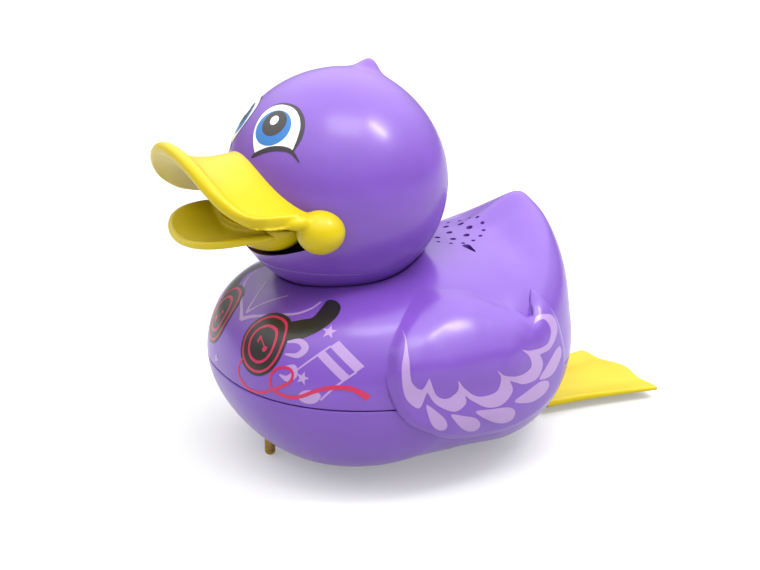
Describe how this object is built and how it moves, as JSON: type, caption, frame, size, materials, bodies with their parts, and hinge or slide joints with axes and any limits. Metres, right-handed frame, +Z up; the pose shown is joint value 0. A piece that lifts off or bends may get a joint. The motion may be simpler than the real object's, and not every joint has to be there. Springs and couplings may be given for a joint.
{
  "type": "floating duck toy",
  "caption": "Floating singing duck toy: hollow two-part hull, ball-shaped turning head, hinged lower bill, rear flipper, side wings and a speaker grille in the back.",
  "frame": {"origin": "middle of the flat underside of the hull, on the battery door, 1.8 mm above the tips of the three contact feet", "axes": "+Z up, the duck faces -Y with its tail and flipper towards +Y, +X to its left side"},
  "size_m": [0.097, 0.1563, 0.1086],
  "materials": {
    "purple_plastic": "glossy moulded plastic",
    "yellow_plastic": "glossy moulded plastic",
    "contact_brass": "satin",
    "zinc_steel": "zinc plated",
    "black_rubber": "matte",
    "circuit_board": "solder-masked laminate",
    "black_plastic": "satin",
    "white_nylon": "satin",
    "coil_copper": "enamelled wire",
    "speaker_paper": "matte pulp"
  },
  "bodies": {
    "body": {"body_upper_shell": "purple_plastic", "hull_shell": "purple_plastic", "battery_door": "purple_plastic", "left_wing": "purple_plastic", "right_wing": "purple_plastic", "front_foot": "contact_brass", "rear_foot_left": "contact_brass", "rear_foot_right": "contact_brass", "battery_contact": "contact_brass", "hull_screw_1": "zinc_steel", "hull_screw_2": "zinc_steel", "hull_screw_3": "zinc_steel", "hull_screw_4": "zinc_steel", "battery_door_screw": "zinc_steel", "button_cell_1": "zinc_steel", "button_cell_2": "zinc_steel", "button_cell_3": "zinc_steel", "board_screw_1": "zinc_steel", "board_screw_2": "zinc_steel", "ballast_weight": "zinc_steel", "speaker_frame": "zinc_steel", "speaker_magnet": "zinc_steel", "microphone": "zinc_steel", "left_wing_screw": "zinc_steel", "right_wing_screw": "zinc_steel", "flipper_pin": "zinc_steel", "hull_seal": "black_rubber", "battery_door_seal": "black_rubber", "speaker_gasket": "black_rubber", "microphone_boot": "black_rubber", "circuit_board": "circuit_board", "sound_chip": "black_plastic", "capacitor": "black_plastic", "switch_body": "black_plastic", "speaker_lead": "black_plastic", "lead_connector": "white_nylon", "neck_bush": "white_nylon", "speaker_cone": "speaker_paper"},
    "head": {"head_face_shell": "purple_plastic", "head_nape_shell": "purple_plastic", "head_screw_left": "zinc_steel", "head_screw_right": "zinc_steel", "upper_bill": "yellow_plastic", "jaw_pin": "zinc_steel", "jaw_coil_bobbin": "white_nylon", "jaw_coil_winding": "coil_copper", "jaw_coil_core": "zinc_steel", "coil_bracket": "white_nylon", "neck_retaining_ring": "white_nylon", "neck_ring_screw_left": "zinc_steel", "neck_ring_screw_right": "zinc_steel"},
    "lower_jaw": {"lower_bill": "yellow_plastic", "jaw_magnet": "zinc_steel"},
    "rear_flipper": {"flipper": "yellow_plastic"},
    "switch_slider": {"switch_knob": "black_plastic"}
  },
  "joints": [
    {"name": "head_swivel", "type": "hinge", "parent": "body", "child": "head", "pos_m": [0, -0.0168, 0.0414], "axis": [0, 0, 1], "range_deg": [-30, 30]},
    {"name": "jaw_hinge", "type": "hinge", "parent": "head", "child": "lower_jaw", "pos_m": [0, -0.0333, 0.0677], "axis": [1, 0, 0], "range_deg": [-3, 4], "stiffness_Nm_per_rad": 0.02},
    {"name": "flipper_hinge", "type": "hinge", "parent": "body", "child": "rear_flipper", "pos_m": [0, 0.046, 0.0032], "axis": [1, 0, 0], "range_deg": [-8, 12]},
    {"name": "power_switch", "type": "slide", "parent": "body", "child": "switch_slider", "axis": [0, 1, 0], "range_m": [0, 0.003]}
  ]
}
